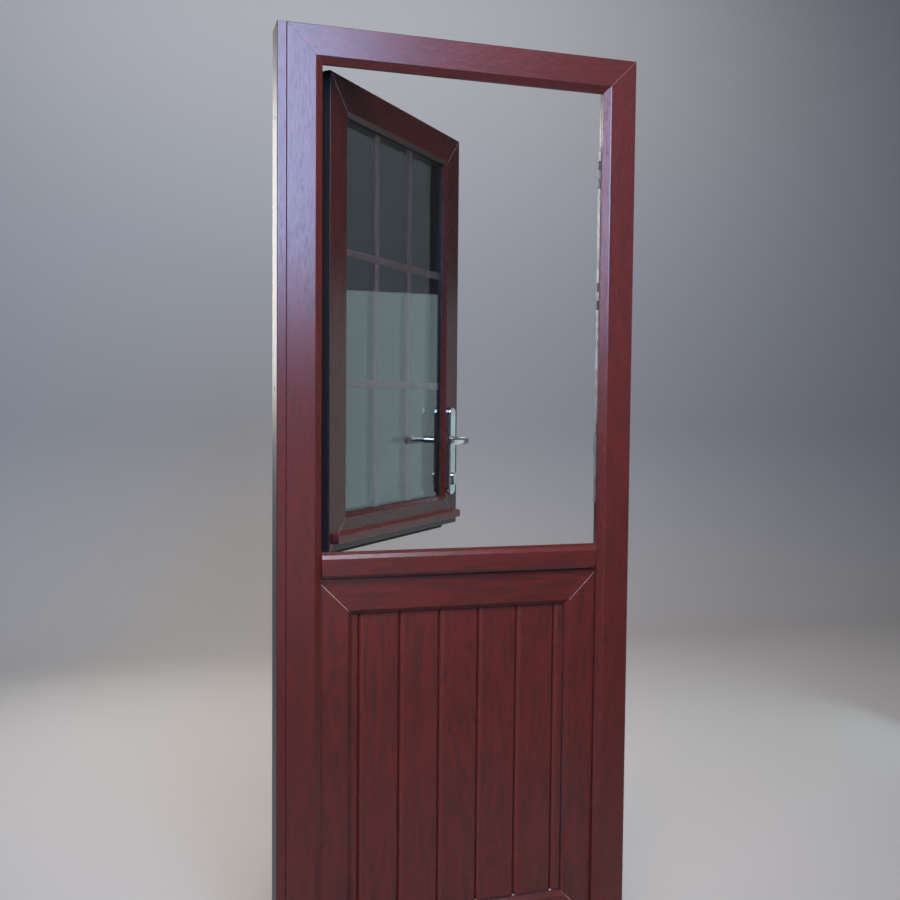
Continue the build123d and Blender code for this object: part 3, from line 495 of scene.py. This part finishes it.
def barMaterial(name):  # pinkish brown wrap of the bars between the panes
    material, tree, shader = newMaterial(name)
    place = restPlace(tree, True)
    streak = cloudy(tree, stretch(tree, place, barWrap["stretch"]), 1.0, 4.0)
    pore = cloudy(tree, place, barWrap["poreScale"], 2.0)
    feed(tree, shader.inputs["Base Color"], ramp(tree, streak, barWrap["streaks"]))
    addRough(tree, shader, streak, barWrap["rough"], barWrap["roughSpread"])
    addRelief(tree, shader, pore, barWrap["relief"])
    return material


def plasticMaterial(name):  # mottled plastic or filler
    look = plastics[name]
    material, tree, shader = newMaterial(name)
    place = restPlace(tree, False)
    mottle = cloudy(tree, place, look["scale"], 4.0)
    colour = tint(tree, grey(tree, mottle, *mottled["span"]), *look["colours"])
    feed(tree, shader.inputs["Base Color"], colour)
    addRough(tree, shader, mottle, look["rough"], mottled["roughSpread"])
    addRelief(tree, shader, mottle, mottled["relief"])
    return material


finish = {
    "frameFoil": foilMaterial(
        "frameFoil",
        "ring",
        shift=0.41,
        half=door["frameHalf"] * mm,
        high=door["frameHeight"] * mm,
        calm=0.55,
    ),
    "stripFoil": foilMaterial("stripFoil", "upright", shift=2.63, half=door["stripEdge"] * mm, calm=0.6),
    "lowerFoil": leafFoil("lowerFoil", "lowerLeaf", False, 1.17),
    "upperFoil": leafFoil("upperFoil", "upperLeaf", True, 3.29),
    "lowerBeadFoil": leafFoil("lowerBeadFoil", "lowerLeaf", False, 6.05),
    "upperBeadFoil": leafFoil("upperBeadFoil", "upperLeaf", True, 7.71),
    "panelFoil": foilMaterial("panelFoil", "upright", shift=4.87, boarded=True),
    "topBarFoil": foilMaterial("topBarFoil", "level", shift=5.93),
    "weatherBarFoil": foilMaterial("weatherBarFoil", "level", turned=True, shift=8.44),
    "rubber": rubberMaterial("rubber"),
    "outerGlass": glassMaterial("outerGlass"),
    # the inner pane's dark tint is a painted shade
    "shadeTintedInnerGlass": glassMaterial("shadeTintedInnerGlass"),
    "spacer": spacerMaterial("spacer"),
    "bars": barMaterial("bars"),
}
finish.update({name: metalMaterial(name) for name in metals})
finish.update({name: plasticMaterial(name) for name in plastics})

wear = {  # the CAD nodes of each finish; all others are zinc
    "frameFoil": ["outer_frame"],
    "stripFoil": ["extension_strip"],
    "lowerFoil": ["lower_sash"],
    "upperFoil": ["upper_sash"],
    "lowerBeadFoil": ["lower_bottom_bead", "lower_top_bead", "lower_left_bead", "lower_right_bead"],
    "upperBeadFoil": ["upper_bottom_bead", "upper_top_bead", "upper_left_bead", "upper_right_bead"],
    "panelFoil": ["grooved_panel"],
    "topBarFoil": ["top_bar"],
    "weatherBarFoil": ["weather_bar"],
    "chrome": [
        "outside_lever",
        "inside_lever",
        "outside_backplate",
        "inside_backplate",
        "handle_screws",
        "key_cylinder",
        "key_plug",
        "lower_handle",
        "lower_handle_base",
    ],
    "rubber": [
        "frame_gasket",
        "upper_leaf_seal",
        "lower_leaf_seal",
        "upper_glazing_gasket",
        "lower_glazing_gasket",
    ],
    "outerGlass": ["outer_pane"],
    "shadeTintedInnerGlass": ["inner_pane"],
    "spacer": ["spacer_frame"],
    "bars": ["glazing_bars"],
}


def dressNodes():
    finishOf = {node: name for name, nodes in wear.items() for node in nodes}
    for name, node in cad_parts.items():
        material = finish[finishOf.get(name, "zinc")]
        if not node.material_slots:
            node.data.materials.append(material)
        for slot in node.material_slots:
            slot.material = material


dressNodes()
print("nodes dressed")


# Piece helpers

def smoothObject(name, mesh):
    data = bpy.data.meshes.new(name)
    mesh.to_mesh(data)
    mesh.free()
    for face in data.polygons:
        face.use_smooth = True
    made = bpy.data.objects.new(name, data)
    bpy.context.scene.collection.objects.link(made)
    return made


def addPiece(name, mesh, material, body, turned=False):
    if turned:
        bmesh.ops.transform(mesh, matrix=openPlace, verts=mesh.verts)
    bmesh.ops.recalc_face_normals(mesh, faces=mesh.faces)
    piece = smoothObject(name, mesh)
    piece.data.materials.append(finish[material])
    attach(piece, body)


def loftRings(mesh, rings, closed=True, caps=True):  # joins rings of points, each a list of vectors
    rows = [[mesh.verts.new(point) for point in ring] for ring in rings]
    count = len(rows[0])
    for first, second in zip(rows, rows[1:]):
        for index in range(count if closed else count - 1):
            after = (index + 1) % count
            mesh.faces.new((first[index], first[after], second[after], second[index]))
    if caps:
        mesh.faces.new(rows[0][::-1])
        mesh.faces.new(rows[-1])


def turnedPart(mesh, centre, axis, side, profile, steps):  # profile: (radius, along) pairs round an axis
    other = axis.cross(side)
    rings = []
    for radius, along in profile:
        ring = []
        for step in range(steps):
            angle = 2 * math.pi * step / steps
            ring.append(centre + axis * along + (side * math.cos(angle) + other * math.sin(angle)) * radius)
        rings.append(ring)
    loftRings(mesh, rings)


# Weld seams at the mitres: a low bead of filler along each joint, in millimetres

seam = {
    "width": 1.0,
    "rise": 0.12,
    "sink": 0.15,
    "footShare": 0.8,
    "arcSteps": 6,
    "frameStart": 1.5,  # from the outer corner
    "leafStart": 2.0,
    "backStart": 1.0,
    "frameShort": 0.4,  # left free at the inner edge
    "leafShort": 0.3,
}


def weldSeam(mesh, corner, inward, path, outward):  # path: (inset from the corner, depth) pairs
    along = Vector((inward[0], 0.0, inward[1])).normalized()
    wide = Vector((-inward[1], 0.0, inward[0])).normalized()
    half = seam["width"] / 2 * mm
    rise, sink = seam["rise"] * mm, seam["sink"] * mm
    points = []
    for inset, depth in path:
        points.append(spot(corner[0] + inward[0] * inset, depth, corner[1] + inward[1] * inset))
    rings = []
    for index, point in enumerate(points):
        before = points[max(index - 1, 0)]
        after = points[min(index + 1, len(points) - 1)]
        run = (after - before).normalized()
        lift = run.cross(wide).normalized()
        if lift.y * outward < 0 or (abs(lift.y) < 0.02 and lift.dot(along) < 0):
            lift = -lift
        ring = []
        for step in range(seam["arcSteps"] + 1):
            angle = math.pi * step / seam["arcSteps"]
            ring.append(point + wide * (math.cos(angle) * half) + lift * (math.sin(angle) * rise))
        for side in (-1, 1):
            ring.append(point + wide * (side * half * seam["footShare"]) - lift * sink)
        rings.append(ring)
    loftRings(mesh, rings)


def ringSeams(name, half, low, high, path, outward, material, body, turned=False):
    mesh = bmesh.new()
    for corner, inward in (
        ((-half, low), (1, 1)),
        ((half, low), (-1, 1)),
        ((half, high), (-1, -1)),
        ((-half, high), (1, -1)),
    ):
        weldSeam(mesh, corner, inward, path, outward)
    addPiece(name, mesh, material, body, turned)


def makeSeams():
    frameSize = (door["frameHalf"], 0.0, door["frameHeight"])
    frontPath = (
        (seam["frameStart"], 0.0),
        (door["frameFlat"], 0.0),
        (door["frameNib"] - seam["frameShort"], door["nibBevelDepth"] - seam["frameShort"]),
    )
    ringSeams("frame_seams", *frameSize, frontPath, -1, "seamDull", "frame")
    front = door["leafFront"]
    leafPath = (
        (seam["leafStart"], front),
        (door["leafFlat"], front),
        (door["leafRail"] - seam["leafShort"], front + door["leafBevelDepth"] - seam["leafShort"]),
    )
    depth, width = door["leafBack"]
    leafBackPath = ((seam["backStart"] - door["flangeReach"], depth), (width, depth))
    for leaf, body, turned in (("lowerLeaf", "lower_leaf", False), ("upperLeaf", "upper_leaf", True)):
        size = (door["leafHalf"], *door[leaf])
        ringSeams(body + "_seams", *size, leafPath, -1, "seamPale", body, turned)
        ringSeams(body + "_back_seams", *size, leafBackPath, 1, "seamDull", body, turned)
    depth, width = door["frameBack"]
    frameBackPath = ((seam["backStart"], depth), (width, depth))
    ringSeams("frame_back_seams", *frameSize, frameBackPath, 1, "seamDull", "frame")


makeSeams()
print("weld seams made")


# Small pale pips at the feet of the panel's grooves

pips = {"count": 6, "depth": 32.4, "foot": 141.6, "size": (2.9, 1.9, 2.1), "uneven": 0.32, "lumps": 1.7}


def makePips():
    mesh = bmesh.new()
    for index in range(pips["count"]):
        place = spot(boards["first"] + index * boards["pitch"], pips["depth"], pips["foot"])
        own = Vector((index * 3.1, 0.0, 0.0))  # so that no two pips are alike
        for vert in bmesh.ops.create_icosphere(mesh, subdivisions=3, radius=1.0)["verts"]:
            swell = 1.0 + pips["uneven"] * noise.noise(vert.co * pips["lumps"] + own)
            sized = Vector([part * size for part, size in zip(vert.co, pips["size"])])
            vert.co = place + sized * swell * mm
    addPiece("panel_pips", mesh, "pip", "lower_leaf")


makePips()


# Caps on the ends of the weather bar and the top bar, with sections as (depth, z)

capRings = ((0.0, 0.985), (0.55, 1.0), (0.85, 0.985), (1.0, 0.94))  # share of the thickness, growth
weatherBar = {
    "end": 303.5,
    "thickness": 1.6,
    "overlap": 0.4,
    "corner": 7.5,
    "section": ((20.0, 934.0), (20.0, 955.5), (3.0, 953.0), (3.0, 934.0)),
    "plug": (11.8, 944.5, 3.3),  # depth, z, radius
    "plugSteps": 28,
    "plugProfile": (  # share of the radius, and distance from the cap in metres
        (1.35, -0.0006),
        (1.30, 0.0003),
        (1.12, 0.0005),
        (0.95, 0.0002),
        (0.80, -0.0003),
        (0.30, -0.0005),
    ),
}
topBar = {
    "left": -305.5,
    "right": 302.0,
    "thickness": {"left": 1.2, "right": 2.2},
    "overlap": 0.4,
    "corner": 1.6,
    "section": (
        (16.2, 872.7),
        (9.0, 872.7),
        (5.2, 878.0),
        (5.2, 912.0),
        (10.0, 920.0),
        (12.5, 921.6),
        (13.0, 925.7),
        (16.2, 925.7),
    ),
}


def roundedOutline(points, radius, steps=5, most=0.45):  # most: share of a side that a corner may take
    count = len(points)
    outline = []
    for index in range(count):
        here = Vector(points[index])
        toBefore = Vector(points[index - 1]) - here
        toAfter = Vector(points[(index + 1) % count]) - here
        reach = min(radius, toBefore.length * most, toAfter.length * most)
        start = here + toBefore.normalized() * reach
        end = here + toAfter.normalized() * reach
        for step in range(steps + 1):
            share = step / steps
            outline.append(start * (1 - share) ** 2 + here * (2 * share * (1 - share)) + end * share**2)
    return outline


def endCap(name, bar, inner, outer, material, body, turned=False):
    mesh = bmesh.new()
    outline = roundedOutline(bar["section"], bar["corner"])
    middle = sum(outline, Vector((0.0, 0.0))) / len(outline)
    rings = []
    for share, growth in capRings:
        x = inner + (outer - inner) * share
        ring = []
        for point in outline:
            moved = middle + (point - middle) * growth
            ring.append(spot(x, moved.x, moved.y))
        rings.append(ring)
    loftRings(mesh, rings)
    addPiece(name, mesh, material, body, turned)


def makeWeatherBarEnd(side, word):
    inner = side * (weatherBar["end"] - weatherBar["overlap"])
    outer = side * (weatherBar["end"] + weatherBar["thickness"])
    endCap("weather_bar_cap_" + word, weatherBar, inner, outer, "capRed", "upper_leaf", True)
    depth, z, radius = weatherBar["plug"]
    profile = [(radius * share * mm, along) for share, along in weatherBar["plugProfile"]]
    centre = spot(outer, depth, z)
    mesh = bmesh.new()
    turnedPart(mesh, centre, Vector((side, 0, 0)), Vector((0, 0, 1)), profile, weatherBar["plugSteps"])
    addPiece("weather_bar_plug_" + word, mesh, "plugNavy", "upper_leaf", True)


def makeTopBarEnd(name, side, word):
    inner = topBar[word] - side * topBar["overlap"]
    outer = topBar[word] + side * topBar["thickness"][word]
    endCap(name, topBar, inner, outer, "topBarFoil", "lower_leaf")


makeWeatherBarEnd(-1, "hinge")
makeWeatherBarEnd(1, "lock")
makeTopBarEnd("top_bar_cap", 1, "right")
makeTopBarEnd("top_bar_cap_hinge", -1, "left")
print("caps and pips made")


# Turned spring collars where each handle's neck meets its plate

collars = {
    "outside_collar": {"centre": (270.5, 9.0, 1136.0), "direction": -1, "body": "upper_leaf", "turned": True},
    "inside_collar": {"centre": (270.5, 101.0, 1136.0), "direction": 1, "body": "upper_leaf", "turned": True},
    "lower_collar": {"centre": (293.5, 99.0, 640.0), "direction": 1, "body": "lower_leaf", "turned": False},
}
collarSteps = 48
collarProfile = (  # radius and distance from the plate, in metres
    (0.00945, -0.0004),
    (0.0128, -0.0004),
    (0.0128, 0.0012),
    (0.0124, 0.0019),
    (0.0116, 0.0023),
    (0.0104, 0.0024),
    (0.00955, 0.0020),
)


def makeCollar(name, look):
    mesh = bmesh.new()
    centre = spot(*look["centre"])
    axis = Vector((0, look["direction"], 0))
    side = Vector((1, 0, 0))
    other = axis.cross(side)
    rings = []
    for step in range(collarSteps):
        angle = 2 * math.pi * step / collarSteps
        out = side * math.cos(angle) + other * math.sin(angle)
        rings.append([centre + out * radius + axis * along for radius, along in collarProfile])
    rings.append(rings[0])
    loftRings(mesh, rings, caps=False)
    bmesh.ops.remove_doubles(mesh, verts=mesh.verts, dist=1e-6)
    addPiece(name, mesh, "chrome", look["body"], look["turned"])


for collarName, collarLook in collars.items():
    makeCollar(collarName, collarLook)


# Clip heads where the glazing bars plug into the spacer

barEnds = {
    "heights": (1276.17, 1558.83),
    "uprights": (-80.0, 80.0),
    "depth": 45.0,
    "inset": 73.0,
    "steps": 20,
    "profile": (  # radius and distance from the spacer, in metres
        (0.0058, -0.0002),
        (0.0058, 0.0016),
        (0.0052, 0.0022),
        (0.0046, 0.0024),
        (0.0046, 0.0030),
    ),
}


def makeBarEnds():
    mesh = bmesh.new()
    half, (low, high) = door["leafHalf"], door["upperLeaf"]
    inset, depth = barEnds["inset"], barEnds["depth"]
    places = []
    for z in barEnds["heights"]:
        places.append((spot(inset - half, depth, z), Vector((1, 0, 0))))
        places.append((spot(half - inset, depth, z), Vector((-1, 0, 0))))
    for x in barEnds["uprights"]:
        places.append((spot(x, depth, low + inset), Vector((0, 0, 1))))
        places.append((spot(x, depth, high - inset), Vector((0, 0, -1))))
    for centre, axis in places:
        turnedPart(mesh, centre, axis, Vector((0, 1, 0)), barEnds["profile"], barEnds["steps"])
    addPiece("bar_clips", mesh, "spacer", "upper_leaf", True)


makeBarEnds()
print("fittings made")


# Floor, backdrop and light

studio = {
    "paper": (0.56, 0.552, 0.54),
    "bounce": (0.22, 0.20, 0.19),  # the paper as it lights the door
    "paperRough": 0.85,
    "paperSpecular": 0.1,
    "halfWidth": 9.0,
    "frontEdge": -9.0,
    "wall": 3.9,
    "wallTop": 6.0,
    "corner": 1.1,
    "cornerSteps": 12,
    "drop": 0.0008,
    "world": (0.93, 0.95, 1.0),
    "worldStrength": 0.10,
}
lamps = {
    "skyLamp": {
        "place": (-0.33, -3.2, 2.70),
        "size": (1.5, 1.8),
        "aim": (-0.33, 0.0, 2.70),
        "power": 74.0,
        "spread": 125.0,
        "colour": (0.36, 0.58, 1.0),
    },
    "canopyLamp": {
        "place": (0.2, -2.0, 3.9),
        "size": (1.0, 1.1),
        "aim": (-0.2, 0.0, 1.15),
        "power": 4.4,
        "spread": 60.0,
        "colour": (0.74, 0.86, 1.0),
    },
    "warmLamp": {
        "place": (-0.9, -2.3, 3.6),
        "size": (1.4, 1.2),
        "aim": (0.0, 0.0, 1.15),
        "power": 8.8,
        "spread": 60.0,
        "colour": (1.0, 0.68, 0.38),
    },
    "sidePanel": {  # the panel of light that the panes show
        "place": (2.2, 0.90, 0.925),
        "size": (1.0, 1.65),
        "aim": (0.0, 0.90, 0.925),
        "power": 3.05,
        "spread": 180.0,
        "throughGlass": True,
        "colour": (0.72, 0.97, 1.0),
    },
    "insideLamp": {
        "place": (0.7, 2.45, 3.2),
        "size": (1.6, 1.0),
        "aim": (0.0, 0.1, 1.0),
        "power": 16.0,
        "spread": 180.0,
        "colour": (1.0, 0.95, 0.90),
    },
    "lowLamp": {
        "place": (0.1, -3.2, 0.46),
        "size": (1.3, 0.85),
        "aim": (0.1, 0.0, 0.46),
        "power": 1.5,
        "spread": 180.0,
        "colour": (0.80, 0.90, 1.0),
    },
    "bevelLamp": {
        "place": (-2.35, -2.15, 2.45),
        "size": (0.6, 1.6),
        "aim": (0.3, 0.0, 1.6),
        "power": 4.4,
        "spread": 60.0,
        "colour": (0.55, 0.62, 1.0),
    },
    "backLamp": {
        "place": (-1.3, 3.2, 2.0),
        "size": (1.6, 1.6),
        "aim": (0.0, 0.1, 1.0),
        "power": 24.0,
        "spread": 110.0,
        "colour": (1.0, 0.97, 0.94),
    },
    "wallLamp": {
        "place": (0.37, 1.74, 4.43),
        "size": (4.8, 0.72),
        "aim": (0.37, 3.9, 1.31),
        "power": 54.7,
        "spread": 165.0,
        "colour": (1.0, 0.93, 0.86),
    },
}


def makeFloor():  # one sheet of paper: floor, rounded corner, wall behind the door
    corner, wall, drop = studio["corner"], studio["wall"], studio["drop"]
    outline = [(studio["frontEdge"], -drop)]
    for step in range(studio["cornerSteps"] + 1):
        angle = math.pi / 2 * step / studio["cornerSteps"]
        outline.append((wall - corner + corner * math.sin(angle), corner - corner * math.cos(angle) - drop))
    outline.append((wall, studio["wallTop"]))
    half = studio["halfWidth"]
    rings = [[Vector((x, y, z)) for y, z in outline] for x in (-half, half)]
    mesh = bmesh.new()
    loftRings(mesh, rings, closed=False, caps=False)
    floor = smoothObject("studio_floor", mesh)
    material, tree, shader = newMaterial("studioPaper")
    rays = put(tree, "LightPath").outputs
    seen = calc(tree, "MAXIMUM", rays["Is Camera Ray"], rays["Is Glossy Ray"])
    seen = calc(tree, "MAXIMUM", seen, rays["Is Transmission Ray"])
    feed(tree, shader.inputs["Base Color"], tint(tree, seen, studio["bounce"], studio["paper"]))
    shader.inputs["Roughness"].default_value = studio["paperRough"]
    shader.inputs["Specular IOR Level"].default_value = studio["paperSpecular"]
    floor.data.materials.append(material)


def makeLamp(name, look):
    data = bpy.data.lights.new(name, "AREA")
    data.shape = "RECTANGLE"
    data.size, data.size_y = look["size"]
    data.energy = look["power"]
    data.color = look["colour"]
    data.spread = math.radians(look["spread"])
    lamp = bpy.data.objects.new(name, data)
    bpy.context.scene.collection.objects.link(lamp)
    place = Vector(look["place"])
    toward = Vector(look["aim"]) - place
    lamp.location = place
    lamp.rotation_euler = toward.to_track_quat("-Z", "Y").to_euler()
    lamp.visible_camera = False
    lamp.visible_transmission = look.get("throughGlass", False)


def makeWorld():
    world = bpy.data.worlds.new("studioWorld")
    world.use_nodes = True
    bpy.context.scene.world = world
    background = world.node_tree.nodes["Background"]
    background.inputs["Color"].default_value = (*studio["world"], 1.0)
    background.inputs["Strength"].default_value = studio["worldStrength"]


makeFloor()
for lampName, lampLook in lamps.items():
    makeLamp(lampName, lampLook)
makeWorld()
bpy.context.scene.view_settings.view_transform = "Standard"
print("studio ready")
